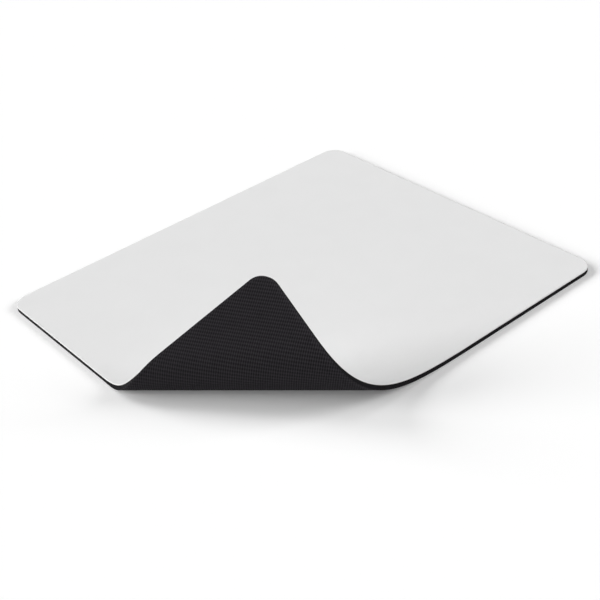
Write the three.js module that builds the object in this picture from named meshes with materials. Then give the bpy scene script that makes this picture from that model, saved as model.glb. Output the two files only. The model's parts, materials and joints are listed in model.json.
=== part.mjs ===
// A thin cloth-topped mouse pad with one corner curled up and back over its working surface.
// Units are millimetres. X runs along the long side, Y along the short side and Z up,
// and the origin is at the centre of the underside.
import * as THREE from "three";

// The flat pad and its three bonded layers, from the desk upwards
const LENGTH = 250;
const WIDTH = 220;
const CORNER_RADIUS = 10;
const RUBBER_THICKNESS = 2.5;
const FILM_THICKNESS = 0.1;
const CLOTH_THICKNESS = 0.4;

// The curl, measured from the lifted corner along the two edges that meet there:
// the side edge runs along Y and the front edge along X
const CURL_START_SIDE = 116;
const CURL_START_FRONT = 220;
const CURL_END_SIDE = 76;
const CURL_END_FRONT = 37;

// The curl turns through this angle: evenly along the side edge, and along the front edge
// gently at first and mostly towards its end
const CURL_ANGLE_DEG = 130;
const CURL_SKEW_FACTOR = 3.2;

// The bend is divided into equal small folds, with a narrow slit between neighbouring sections
const FOLD_COUNT = 9;
const FOLD_SLIT = 0.3;

// Each rounded corner is drawn with twice this many straight steps
const CORNER_STEPS = 6;

const RUBBER_TOP = RUBBER_THICKNESS;
const FILM_TOP = RUBBER_TOP + FILM_THICKNESS;
const CLOTH_TOP = FILM_TOP + CLOTH_THICKNESS;

const LAYERS = [
  { name: "rubber", low: 0, high: RUBBER_TOP, colour: 0x26262a, roughness: 0.85 },
  { name: "film", low: RUBBER_TOP, high: FILM_TOP, colour: 0xd8d2c0, roughness: 0.5 },
  { name: "cloth", low: FILM_TOP, high: CLOTH_TOP, colour: 0xe6e6e6, roughness: 0.95 },
];

// The outline of the whole pad, laid flat, anticlockwise from above
function padOutline() {
  const x = LENGTH / 2 - CORNER_RADIUS;
  const y = WIDTH / 2 - CORNER_RADIUS;
  const quarter = Math.PI / 2;
  const outline = new THREE.Shape();
  outline.absarc(x, y, CORNER_RADIUS, 0, quarter);
  outline.absarc(-x, y, CORNER_RADIUS, quarter, 2 * quarter);
  outline.absarc(-x, -y, CORNER_RADIUS, 2 * quarter, 3 * quarter);
  outline.absarc(x, -y, CORNER_RADIUS, 3 * quarter, 4 * quarter);
  return outline.getPoints(CORNER_STEPS);
}

// How far through the curl on the front edge, from 0 to 1, a given share of its turn has been made
function frontPlace(turnShare) {
  const eased = 0.5 - Math.sin(Math.asin(1 - 2 * turnShare) / 3);
  return eased ** (1 / CURL_SKEW_FACTOR);
}

// The straight fold at a share of the turn: it crosses the pad from the front edge to the side edge
function foldLine(turnShare) {
  const cornerX = -LENGTH / 2;
  const cornerY = -WIDTH / 2;
  const front = THREE.MathUtils.lerp(CURL_START_FRONT, CURL_END_FRONT, frontPlace(turnShare));
  const side = THREE.MathUtils.lerp(CURL_START_SIDE, CURL_END_SIDE, turnShare);
  const point = new THREE.Vector2(cornerX + front, cornerY);
  const along = new THREE.Vector2(-front, side).normalize();
  const outward = new THREE.Vector2(-along.y, along.x);
  return { point, along, outward };
}

// The part of an outline on which a signed distance is not above zero
function clip(outline, distance) {
  const kept = [];
  outline.forEach((start, index) => {
    const end = outline[(index + 1) % outline.length];
    const before = distance(start);
    const after = distance(end);
    if (before <= 0) {
      kept.push(start);
    }
    if (before * after < 0) {
      kept.push(start.clone().lerp(end, before / (before - after)));
    }
  });
  return kept;
}

// The flat outline of one section, between the fold that carries it and the next one
function sectionOutline(carrying, next) {
  const past = (fold) => (point) => point.clone().sub(fold.point).dot(fold.outward);
  let outline = padOutline();
  if (carrying) {
    outline = clip(outline, (point) => FOLD_SLIT / 2 - past(carrying)(point));
  }
  if (next) {
    outline = clip(outline, (point) => past(next)(point) + FOLD_SLIT / 2);
  }
  return outline;
}

// One layer of a section: a flat slab between two heights that its neighbours share
function slab(layer, sectionName, outline) {
  const depth = layer.high - layer.low;
  const geometry = new THREE.ExtrudeGeometry(new THREE.Shape(outline), { depth, bevelEnabled: false });
  const position = geometry.getAttribute("position");
  for (let index = 0; index < position.count; index += 1) {
    position.setZ(index, position.getZ(index) > 0 ? layer.high : layer.low);
  }
  const material = new THREE.MeshStandardMaterial({
    color: layer.colour,
    roughness: layer.roughness,
    metalness: 0,
  });
  const mesh = new THREE.Mesh(geometry, material);
  mesh.name = `${layer.name}_${sectionName}`;
  return mesh;
}

// A group that turns about a fold at the height of the cloth's face, and one inside it that
// brings the flat pad's coordinates back
function turnAbout(fold, angle) {
  const turning = new THREE.Group();
  const axis = new THREE.Vector3(fold.along.x, fold.along.y, 0);
  turning.position.set(fold.point.x, fold.point.y, CLOTH_TOP);
  turning.setRotationFromAxisAngle(axis, angle);
  const flat = new THREE.Group();
  flat.position.copy(turning.position).negate();
  turning.add(flat);
  return { turning, flat };
}

function sectionName(index) {
  if (index === 0) {
    return "field";
  }
  return index === FOLD_COUNT ? "corner" : `fold_${String(index).padStart(2, "0")}`;
}

// The field lies flat, and each further section hangs on the one before it
function mousePad() {
  const folds = [];
  for (let index = 0; index < FOLD_COUNT; index += 1) {
    folds.push(foldLine((index + 0.5) / FOLD_COUNT));
  }
  const foldAngle = THREE.MathUtils.degToRad(CURL_ANGLE_DEG / FOLD_COUNT);
  const pad = new THREE.Group();
  let carrier = pad;
  for (let index = 0; index <= FOLD_COUNT; index += 1) {
    const carrying = folds[index - 1];
    if (carrying) {
      const { turning, flat } = turnAbout(carrying, foldAngle);
      carrier.add(turning);
      carrier = flat;
    }
    const outline = sectionOutline(carrying, folds[index]);
    for (const layer of LAYERS) {
      carrier.add(slab(layer, sectionName(index), outline));
    }
  }
  return pad;
}

export default mousePad();
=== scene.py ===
"""A cloth-topped mouse pad whose near corner is curled up and back, in the photograph's view.

Lengths are in metres. Each layer of the pad is modelled flat, cut between the CAD part's hinges
into a field, bends and a corner, and then curled.
"""
import json
import math

import bmesh
import bpy
import numpy as np
from mathutils import Matrix, Vector


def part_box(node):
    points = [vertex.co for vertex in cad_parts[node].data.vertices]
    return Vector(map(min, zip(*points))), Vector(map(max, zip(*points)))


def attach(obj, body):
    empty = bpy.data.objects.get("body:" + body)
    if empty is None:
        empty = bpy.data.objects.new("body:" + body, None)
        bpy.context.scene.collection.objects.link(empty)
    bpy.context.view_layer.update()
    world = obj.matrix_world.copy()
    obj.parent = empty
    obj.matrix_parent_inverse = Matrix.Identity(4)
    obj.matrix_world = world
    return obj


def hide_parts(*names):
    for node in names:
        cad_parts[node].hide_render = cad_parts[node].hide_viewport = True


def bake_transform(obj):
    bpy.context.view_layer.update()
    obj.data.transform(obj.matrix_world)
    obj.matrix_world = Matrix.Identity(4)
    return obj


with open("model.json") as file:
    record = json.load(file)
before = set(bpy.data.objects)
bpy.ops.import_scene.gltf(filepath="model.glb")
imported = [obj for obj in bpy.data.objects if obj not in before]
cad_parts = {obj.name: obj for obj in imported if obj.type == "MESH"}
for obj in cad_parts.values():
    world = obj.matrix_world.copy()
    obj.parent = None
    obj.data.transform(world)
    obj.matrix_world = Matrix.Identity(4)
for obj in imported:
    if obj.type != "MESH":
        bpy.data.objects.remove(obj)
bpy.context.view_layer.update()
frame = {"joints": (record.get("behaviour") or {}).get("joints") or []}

MM = 0.001

# The flat pad, from the CAD field, which reaches three of its corners
JOINTS = frame["joints"]
LAYERS = ("rubber", "film", "cloth")
HEIGHTS = {layer: [corner.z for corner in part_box(f"{layer}_field")] for layer in LAYERS}
FACE = HEIGHTS["cloth"][1]
HALF_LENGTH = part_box("cloth_field")[1].x
HALF_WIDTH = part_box("cloth_field")[1].y
CORNER_RADIUS = 10 * MM
CORNER_STEPS = 12

# The cut edge: how far the outer layers are rounded, and how wide the border is that keeps the
# rounding's smooth shading off the faces
CUT_ROUNDING = 0.2 * MM
CUT_BORDER = 1 * MM
SHARP_ANGLE = math.radians(50)

# The curl: where it starts and ends on the two edges that meet at the lifted corner, and the
# power by which its turn comes late on the front edge
CURL_START_SIDE = 123 * MM
CURL_START_FRONT = 220 * MM
CURL_END_SIDE = 69 * MM
CURL_END_FRONT = 37 * MM
CURL_SKEW = 3.2

# The bends, one for each hinge of the CAD part: the hinges stand evenly between these two places
# on the side edge, and their lower limits lay the pad flat
BENDS_START_SIDE = 116 * MM
BENDS_END_SIDE = 76 * MM
BENDS = len(JOINTS)
CURL_TURN = sum(math.radians(-joint["range_deg"][0]) for joint in JOINTS)

# The curl turns in fine folds of equal angle, and the meshes are cut along its straight rulings
FINE_FOLDS = 30 * BENDS
RULINGS = 8 * BENDS
CUT_TOLERANCE = 0.0001 * MM

# The pressed-in dots under the rubber: ridges in two directions part them
ROW_PITCH = 1.75 * MM
ROW_ANGLE = math.radians(45)
DOT_PITCH = 1.15 * MM
DOT_ANGLE = math.radians(-35)
DOT_RIM = 0.25 * MM
DOT_DEPTH = 0.2 * MM

# A cell of this area holds a whole dot, a face whose normal points this far down is underneath,
# and so is what lies below this height in the flat pad
WHOLE_DOT = 0.9 * ROW_PITCH * DOT_PITCH
FACING_DOWN = -0.9
UNDERSIDE_TOP = 1.5 * DOT_DEPTH

# How much each pattern counts in the tone of its material
ROW_TONE = 0.4
DOT_TONE = 0.6
# Painted shade: the rubber's dots are painted darker and the ridges between them paler, by this much
DOT_SHADE_TONE = 0.8
GRAIN_TONE = 0.2
RUBBER_BLOTCH_TONE = 0.1
WEAVE_TONE = 0.12

# The threads of the cloth, and the height of the rubber's grain
THREAD_PITCH = 0.4 * MM
THREAD_HEIGHT = 0.02 * MM
THREAD_UNEVENNESS = 0.4
GRAIN_HEIGHT = 0.03 * MM

# The colours between which each material's tone varies
CLOTH_COLOURS = (0.775, 0.775, 0.775), (0.80, 0.80, 0.80)
FILM_COLOURS = (0.36, 0.35, 0.32), (0.44, 0.42, 0.38)
RUBBER_COLOURS = (0.001, 0.0008, 0.0012), (0.041, 0.038, 0.043)

# One wave of Blender's wave texture is this long in its coordinates
WAVE_LENGTH = math.pi / 10

# The photograph's view: where the camera looks, from where, and how long its lens is
VIEW_TARGET = Vector((-7.13, -9.88, 0)) * MM
VIEW_AZIMUTH = math.radians(-36.57)
VIEW_ELEVATION = math.radians(34.33)
VIEW_ROLL = math.radians(-6.34)
VIEW_DISTANCE = 650 * MM
VIEW_LENS = 69.67
VIEW_SENSOR = 36

# The studio: the lamps' width as the pad sees them, the floor, what lifts it to white for the
# camera, and the world's fill light
LAMP_SPREAD = math.radians(25)
FLOOR_REACH = 4000 * MM
FLOOR_GREY = 0.93
FLOOR_LIFT = 0.11
WORLD_FILL = 0.02


def eased(share):
    """How far through a bend that starts and ends gently, from 0 to 1, a share of its turn is made."""
    return 0.5 - math.sin(math.asin(1 - 2 * share) / 3)


def front_end(share):
    """The end on the front edge, where most of the turn comes late, of the fold at a share of the turn."""
    place = eased(share) ** (1 / CURL_SKEW)
    front = CURL_START_FRONT + (CURL_END_FRONT - CURL_START_FRONT) * place
    return Vector((front - HALF_LENGTH, -HALF_WIDTH, FACE))


def side_end(start, end, place):
    """A point on the side edge, some way between two distances from the lifted corner."""
    return Vector((-HALF_LENGTH, start + (end - start) * place - HALF_WIDTH, FACE))


def fold_ends(share):
    """The ends, on the front and the side edge, of the straight fold at a share of the turn."""
    return front_end(share), side_end(CURL_START_SIDE, CURL_END_SIDE, eased(share))


def upright_plane(front, side):
    """A point on the upright plane through two points, and its flat direction towards the corner."""
    along = side - front
    return front, Vector((-along.y, along.x, 0)).normalized()


def fold_plane(share):
    """The upright plane through the fold at a share of the turn."""
    return upright_plane(*fold_ends(share))


def bend_plane(share):
    """The upright plane that parts two bends, between two hinges of the CAD part."""
    return upright_plane(front_end(share), side_end(BENDS_START_SIDE, BENDS_END_SIDE, share))


def curl_turns():
    """The transforms of the curl after 0, 1, 2 and more fine folds of equal angle."""
    turns = [Matrix.Identity(4)]
    for index in range(FINE_FOLDS):
        front, side = fold_ends((index + 0.5) / FINE_FOLDS)
        turn = Matrix.Rotation(CURL_TURN / FINE_FOLDS, 4, side - front)
        fold = Matrix.Translation(front) @ turn @ Matrix.Translation(-front)
        turns.append(turns[-1] @ fold)
    return np.array(turns)


TURNS = curl_turns()


def turns_at(flat):
    """The transform of the curl at each flat point, an array of rows x, y, z."""
    passed = np.zeros(len(flat), dtype=int)
    for index in range(FINE_FOLDS):
        point, outward = fold_plane((index + 0.5) / FINE_FOLDS)
        passed += (flat - np.array(point)) @ np.array(outward) > 0
    return TURNS[passed]


def curled(flat):
    """Flat points, an array of rows x, y, z, carried into the curl."""
    turns = turns_at(flat)
    return np.einsum("nij,nj->ni", turns[:, :3, :3], flat) + turns[:, :3, 3]


def pad_outline(inset, height):
    """The rounded rectangle of the flat pad, pulled in by inset, anticlockwise from above."""
    points = []
    radius = CORNER_RADIUS - inset
    for quarter, (sign_x, sign_y) in enumerate(((1, 1), (-1, 1), (-1, -1), (1, -1))):
        centre_x = sign_x * (HALF_LENGTH - CORNER_RADIUS)
        centre_y = sign_y * (HALF_WIDTH - CORNER_RADIUS)
        for step in range(CORNER_STEPS + 1):
            angle = (quarter + step / CORNER_STEPS) * math.pi / 2
            x = centre_x + radius * math.cos(angle)
            y = centre_y + radius * math.sin(angle)
            points.append((x, y, height))
    return points


def layer_profile(layer):
    """The cut edge of a layer from its underside up, as (inset, height): the outer layers are rounded."""
    low, high = HEIGHTS[layer]
    soft = CUT_ROUNDING * (1 - math.sqrt(0.5))
    rounding = [(CUT_BORDER, 0), (CUT_ROUNDING, 0), (soft, soft), (0, CUT_ROUNDING)]
    if layer == "rubber":
        return [*((inset, low + rise) for inset, rise in rounding), (0, high)]
    if layer == "cloth":
        return [(0, low), *((inset, high - fall) for inset, fall in reversed(rounding))]
    return [(0, low), (0, high)]


def flat_layer(layer):
    """One whole layer of the flat pad as a closed solid."""
    solid = bmesh.new()
    rings = []
    for inset, height in layer_profile(layer):
        rings.append([solid.verts.new(point) for point in pad_outline(inset, height)])
    for lower, upper in zip(rings, rings[1:]):
        for index in range(len(lower)):
            after = (index + 1) % len(lower)
            solid.faces.new((lower[index], lower[after], upper[after], upper[index]))
    solid.faces.new(rings[-1])
    solid.faces.new(reversed(rings[0]))
    return solid


def cut_along(solid, geometry, point, normal, **clear):
    """Cuts part of a solid with an upright plane and returns the edges of the cut."""
    found = bmesh.ops.bisect_plane(
        solid, geom=geometry, dist=CUT_TOLERANCE, plane_co=point, plane_no=normal, **clear
    )
    return [item for item in found["geom_cut"] if isinstance(item, bmesh.types.BMEdge)]


def with_parts(faces):
    """Faces with their edges and vertices, as a bisection takes them."""
    edges = {edge for face in faces for edge in face.edges}
    verts = {vert for face in faces for vert in face.verts}
    return [*verts, *edges, *faces]


def press_dots(solid):
    """Presses the dots into the underside of the rubber, from the start of the curl to its corner."""
    point, outward = fold_plane(0)

    def underside():
        return [face for face in solid.faces if face.normal.z < FACING_DOWN]

    def lifted():
        return [face for face in underside() if (face.calc_center_bounds() - point).dot(outward) > 0]

    cut_along(solid, with_parts(underside()), point, outward)
    corner = Vector((-HALF_LENGTH, -HALF_WIDTH, 0))
    for angle, pitch in ((ROW_ANGLE, ROW_PITCH), (DOT_ANGLE, DOT_PITCH)):
        normal = Vector((math.cos(angle), math.sin(angle), 0))
        lines = math.ceil(max(CURL_START_FRONT, CURL_START_SIDE) / pitch)
        for line in range(-lines, lines):
            cut_along(solid, with_parts(lifted()), corner + normal * ((line + 0.5) * pitch), normal)
    cells = [face for face in lifted() if face.calc_area() > WHOLE_DOT]
    bmesh.ops.inset_individual(
        solid, faces=cells, thickness=DOT_RIM, depth=-DOT_DEPTH, use_even_offset=True
    )


def between(solid, first, last):
    """A copy of a flat solid, cut to the part between two shares of the turn, None for no end."""
    part = solid.copy()
    for share, clear in ((first, "clear_inner"), (last, "clear_outer")):
        if share is not None:
            everything = [*part.verts, *part.edges, *part.faces]
            edges = cut_along(part, everything, *bend_plane(share), **{clear: True})
            bmesh.ops.holes_fill(part, edges=edges, sides=0)
    return part


def rule(part):
    """Divides a part along the straight rulings of the curl, so that it can follow it."""
    for ruling in range(RULINGS + 1):
        cut_along(part, [*part.verts, *part.edges, *part.faces], *fold_plane(ruling / RULINGS))


def curl_mesh(name, part):
    """The mesh of a flat part carried into the curl, with its flat places and smooth normals kept."""
    mesh = bpy.data.meshes.new(name)
    part.to_mesh(mesh)
    part.free()
    mesh.polygons.foreach_set("use_smooth", [True] * len(mesh.polygons))
    mesh.set_sharp_from_angle(angle=SHARP_ANGLE)
    flat = np.array([vertex.co for vertex in mesh.vertices])
    normals = np.array([corner.vector for corner in mesh.corner_normals])
    of_vertex = np.array([loop.vertex_index for loop in mesh.loops])
    mesh.attributes.new("flat_place", "FLOAT_VECTOR", "POINT").data.foreach_set("vector", flat.ravel())
    mesh.vertices.foreach_set("co", curled(flat).ravel())
    turned = np.einsum("nij,nj->ni", turns_at(flat)[of_vertex][:, :3, :3], normals)
    mesh.normals_split_custom_set(turned)
    mesh.update()
    return mesh


def show(layer, name, part, material):
    """Puts a part of a layer into the scene, curled, with its material."""
    rule(part)
    piece = bpy.data.objects.new(f"pad_{layer}_{name}", curl_mesh(f"pad_{layer}_{name}", part))
    bpy.context.scene.collection.objects.link(piece)
    piece.data.materials.append(material)
    return piece


def blend_over(piece, bend):
    """Bakes a bend's transform into its mesh; the hinge's middle and the bend's curled ends on the front
    edge are worked out but not used.
    """
    joint = JOINTS[bend]
    middle = Vector(joint["pos_m"])
    ends = np.array([front_end((bend + step) / BENDS) for step in (0, 1)])
    before, after = (Vector(point) - middle for point in curled(ends))
    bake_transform(piece)


def dress_layer(layer, material):
    """One layer of the pad: the flat field, the bends between the hinges, and the corner."""
    solid = flat_layer(layer)
    if layer == "rubber":
        solid.normal_update()
        press_dots(solid)
    field = show(layer, "field", between(solid, None, 0), material)
    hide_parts(f"{layer}_field")
    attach(field, "field")
    others = []
    for bend, joint in enumerate(JOINTS):
        part = between(solid, bend / BENDS, (bend + 1) / BENDS)
        piece = show(layer, f"bend_{bend + 1:02d}", part, material)
        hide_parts(f"{layer}_{joint['child']}")
        blend_over(piece, bend)
        others.append(piece)
    corner = show(layer, "corner", between(solid, 1, None), material)
    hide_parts(f"{layer}_corner")
    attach(corner, "corner")
    solid.free()
    return field, [*others, corner]


def new_material(name, roughness):
    """A material with its principled shader, and the flat place of each point in millimetres."""
    material = bpy.data.materials.new(name)
    material.use_nodes = True
    nodes = material.node_tree.nodes
    shader = nodes["Principled BSDF"]
    shader.inputs["Roughness"].default_value = roughness
    place = nodes.new("ShaderNodeAttribute")
    place.attribute_name = "flat_place"
    scaled = nodes.new("ShaderNodeVectorMath")
    scaled.operation = "SCALE"
    scaled.inputs["Scale"].default_value = 1 / MM
    material.node_tree.links.new(place.outputs["Vector"], scaled.inputs[0])
    return material, shader, scaled.outputs[0]


def noise(material, place, period, detail):
    """Noise whose blotches are about a period of millimetres apart."""
    node = material.node_tree.nodes.new("ShaderNodeTexNoise")
    node.inputs["Scale"].default_value = 1 / period
    node.inputs["Detail"].default_value = detail
    material.node_tree.links.new(place, node.inputs["Vector"])
    return node.outputs["Fac"]


def threads(material, place, direction, period, unevenness):
    """Parallel ridges, one for each period of millimetres, that run across a direction."""
    node = material.node_tree.nodes.new("ShaderNodeTexWave")
    node.wave_type = "BANDS"
    node.bands_direction = direction
    node.inputs["Scale"].default_value = WAVE_LENGTH / period
    node.inputs["Distortion"].default_value = unevenness
    node.inputs["Detail"].default_value = 1
    material.node_tree.links.new(place, node.inputs["Vector"])
    return node.outputs["Fac"]


def combine(material, operation, first, second):
    """Two values, or a value and a number, joined by a sum, a product or a comparison."""
    node = material.node_tree.nodes.new("ShaderNodeMath")
    node.operation = operation
    material.node_tree.links.new(first, node.inputs[0])
    if isinstance(second, (int, float)):
        node.inputs[1].default_value = second
    else:
        material.node_tree.links.new(second, node.inputs[1])
    return node.outputs[0]


def colour_by(material, shader, value, dark, light):
    """Colours the shader from dark to light as a value goes from 0 to 1."""
    ramp = material.node_tree.nodes.new("ShaderNodeValToRGB")
    ramp.color_ramp.elements[0].color = (*dark, 1)
    ramp.color_ramp.elements[1].color = (*light, 1)
    material.node_tree.links.new(value, ramp.inputs["Fac"])
    material.node_tree.links.new(ramp.outputs["Color"], shader.inputs["Base Color"])


def bump_by(material, shader, value, depth):
    """Raises the surface by up to depth where a value is 1."""
    node = material.node_tree.nodes.new("ShaderNodeBump")
    node.inputs["Strength"].default_value = 1
    node.inputs["Distance"].default_value = depth
    material.node_tree.links.new(value, node.inputs["Height"])
    material.node_tree.links.new(node.outputs["Normal"], shader.inputs["Normal"])


def cloth_material():
    """Close-woven polyester cloth, very light grey, a little uneven in tone."""
    material, shader, place = new_material("pale_cloth", roughness=0.9)
    shader.inputs["Sheen Weight"].default_value = 0.08
    shader.inputs["Sheen Roughness"].default_value = 0.5
    shader.inputs["Specular IOR Level"].default_value = 0.25
    warp = threads(material, place, "X", THREAD_PITCH / MM, THREAD_UNEVENNESS)
    weft = threads(material, place, "Y", THREAD_PITCH / MM, THREAD_UNEVENNESS)
    weave = combine(material, "MULTIPLY", warp, weft)
    blotches = noise(material, place, period=18, detail=3)
    tone = combine(material, "ADD", blotches, combine(material, "MULTIPLY", weave, WEAVE_TONE))
    colour_by(material, shader, tone, *CLOTH_COLOURS)
    bump_by(material, shader, weave, THREAD_HEIGHT)
    return material


def film_material():
    """The hot-melt film, seen only as a hairline at the cut edge."""
    material, shader, place = new_material("bond_film", roughness=0.5)
    colour_by(material, shader, noise(material, place, period=2, detail=2), *FILM_COLOURS)
    return material


def ridges(material, place, angle, pitch):
    """Ridges across a direction in the flat pad, half a pitch from its lifted corner and so on."""
    nodes, links = material.node_tree.nodes, material.node_tree.links
    from_corner = nodes.new("ShaderNodeMapping")
    from_corner.vector_type = "TEXTURE"
    from_corner.inputs["Location"].default_value = (-HALF_LENGTH / MM, -HALF_WIDTH / MM, 0)
    from_corner.inputs["Rotation"].default_value = (0, 0, angle)
    links.new(place, from_corner.inputs["Vector"])
    return threads(material, from_corner.outputs[0], "X", period=pitch / MM, unevenness=0)


def dot_shade_mask(material, place):
    """1 where the ridges between the pressed-in dots cross and 0 in their middles, as on the mesh: the
    mask of painted dot shade.
    """
    rows = combine(material, "MULTIPLY", ridges(material, place, ROW_ANGLE, ROW_PITCH), ROW_TONE)
    dots = combine(material, "MULTIPLY", ridges(material, place, DOT_ANGLE, DOT_PITCH), DOT_TONE)
    height = material.node_tree.nodes.new("ShaderNodeSeparateXYZ")
    material.node_tree.links.new(place, height.inputs[0])
    under = combine(material, "LESS_THAN", height.outputs["Z"], UNDERSIDE_TOP / MM)
    return combine(material, "MULTIPLY", under, combine(material, "ADD", rows, dots))


def rubber_material():
    """Matt black sponge rubber, grained, with shade painted dark into its dots and pale on their ridges.
    """
    material, shader, place = new_material("black_rubber", roughness=0.8)
    shader.inputs["Specular IOR Level"].default_value = 0.06
    grain = noise(material, place, period=0.35, detail=4)
    blotches = noise(material, place, period=9, detail=2)
    grained = combine(material, "MULTIPLY", grain, GRAIN_TONE)
    blotched = combine(material, "MULTIPLY", blotches, RUBBER_BLOTCH_TONE)
    # Painted shade: darker in the pressed-in dots, paler on the ridges between them
    painted_dot_shade = combine(material, "MULTIPLY", dot_shade_mask(material, place), DOT_SHADE_TONE)
    tone = combine(material, "ADD", combine(material, "ADD", grained, blotched), painted_dot_shade)
    colour_by(material, shader, tone, *RUBBER_COLOURS)
    bump_by(material, shader, grain, GRAIN_HEIGHT)
    return material


def light_path(nodes, links):
    """1 for what the camera sees, straight, mirrored or through glass, and 0 for other rays."""
    path = nodes.new("ShaderNodeLightPath")
    seen = path.outputs["Is Camera Ray"]
    for name in ("Is Glossy Ray", "Is Transmission Ray"):
        either = nodes.new("ShaderNodeMath")
        either.operation = "MAXIMUM"
        links.new(seen, either.inputs[0])
        links.new(path.outputs[name], either.inputs[1])
        seen = either.outputs[0]
    return seen


def floor_material():
    """Matt white, lifted to full white for the camera where no shadow lies."""
    material = bpy.data.materials.new("white_floor")
    material.use_nodes = True
    nodes, links = material.node_tree.nodes, material.node_tree.links
    shader = nodes["Principled BSDF"]
    shader.inputs["Base Color"].default_value = (FLOOR_GREY, FLOOR_GREY, FLOOR_GREY, 1)
    shader.inputs["Roughness"].default_value = 1
    shader.inputs["Specular IOR Level"].default_value = 0
    shader.inputs["Emission Color"].default_value = (1, 1, 1, 1)
    lift = nodes.new("ShaderNodeMath")
    lift.operation = "MULTIPLY"
    lift.inputs[1].default_value = FLOOR_LIFT
    links.new(light_path(nodes, links), lift.inputs[0])
    links.new(lift.outputs[0], shader.inputs["Emission Strength"])
    return material


def make_floor():
    """A wide white floor that keeps the pad's shadow."""
    mesh = bpy.data.meshes.new("floor")
    corners = [(x * FLOOR_REACH, y * FLOOR_REACH, 0) for x, y in ((-1, -1), (1, -1), (1, 1), (-1, 1))]
    mesh.from_pydata(corners, [], [(0, 1, 2, 3)])
    mesh.materials.append(floor_material())
    floor = bpy.data.objects.new("floor", mesh)
    bpy.context.scene.collection.objects.link(floor)


def make_world():
    """A white studio around the pad: white to the eye, and a soft fill light."""
    world = bpy.data.worlds.new("studio")
    bpy.context.scene.world = world
    world.use_nodes = True
    nodes, links = world.node_tree.nodes, world.node_tree.links
    background = nodes["Background"]
    background.inputs["Color"].default_value = (1, 1, 1, 1)
    strength = nodes.new("ShaderNodeMapRange")
    strength.inputs["To Min"].default_value = WORLD_FILL
    strength.inputs["To Max"].default_value = 1
    links.new(light_path(nodes, links), strength.inputs["Value"])
    links.new(strength.outputs["Result"], background.inputs["Strength"])


def view_axes():
    """The camera's right, up and backward directions before its roll."""
    level = math.cos(VIEW_ELEVATION)
    back = Vector((
        math.sin(VIEW_AZIMUTH) * level,
        -math.cos(VIEW_AZIMUTH) * level,
        math.sin(VIEW_ELEVATION),
    ))
    right = Vector((math.cos(VIEW_AZIMUTH), math.sin(VIEW_AZIMUTH), 0))
    return right, back.cross(right), back


def make_camera():
    """The photograph's camera."""
    right, up, back = view_axes()
    tilted_right = right * math.cos(VIEW_ROLL) + up * math.sin(VIEW_ROLL)
    tilted_up = up * math.cos(VIEW_ROLL) - right * math.sin(VIEW_ROLL)
    turned = Matrix((tilted_right, tilted_up, back)).transposed().to_4x4()
    camera = bpy.data.objects.new("camera", bpy.data.cameras.new("camera"))
    camera.data.sensor_fit = "HORIZONTAL"
    camera.data.sensor_width = VIEW_SENSOR
    camera.data.lens = VIEW_LENS
    camera.data.clip_start = 10 * MM
    camera.matrix_world = Matrix.Translation(VIEW_TARGET + back * VIEW_DISTANCE) @ turned
    bpy.context.scene.collection.objects.link(camera)
    bpy.context.scene.camera = camera


def make_lamp(name, azimuth_deg, elevation_deg, share):
    """A soft far lamp that lights a level white surface to a share of full white.

    The azimuth is 0 behind the pad as the camera sees it, and grows to the camera's right.
    """
    azimuth = math.radians(azimuth_deg)
    elevation = math.radians(elevation_deg)
    right, _, back = view_axes()
    forward = Vector((-back.x, -back.y, 0)).normalized()
    level = forward * math.cos(azimuth) + right * math.sin(azimuth)
    source = level * math.cos(elevation) + Vector((0, 0, math.sin(elevation)))
    lamp = bpy.data.objects.new(name, bpy.data.lights.new(name, "SUN"))
    lamp.data.angle = LAMP_SPREAD
    lamp.data.energy = math.pi * share / math.sin(elevation)
    lamp.rotation_euler = (-source).to_track_quat("-Z", "Y").to_euler()
    bpy.context.scene.collection.objects.link(lamp)


def set_stage():
    """The camera, the floor, the world and the lamps."""
    bpy.context.scene.view_settings.view_transform = "Standard"
    make_camera()
    make_floor()
    make_world()
    make_lamp("left_lamp", azimuth_deg=-90, elevation_deg=20, share=0.25)
    make_lamp("back_lamp", azimuth_deg=-60, elevation_deg=30, share=0.24)
    make_lamp("right_lamp", azimuth_deg=95, elevation_deg=28, share=0.25)
    make_lamp("top_lamp", azimuth_deg=0, elevation_deg=85, share=0.11)
    make_lamp("front_lamp", azimuth_deg=180, elevation_deg=45, share=0.09)


def flat_area(layer, field):
    """The flat area of a layer's field, whose volume is that area times the layer's thickness."""
    low, high = HEIGHTS[layer]
    solid = bmesh.new()
    solid.from_mesh(field.data)
    area = solid.calc_volume() / (high - low)
    solid.free()
    return area


def dress_pad():
    """The three bonded layers of the pad, each cut to the pad's size; each field's flat area is worked out
    but not used.
    """
    materials = {"rubber": rubber_material(), "film": film_material(), "cloth": cloth_material()}
    for layer in LAYERS:
        field, others = dress_layer(layer, materials[layer])
        flat_area(layer, field)


set_stage()
dress_pad()
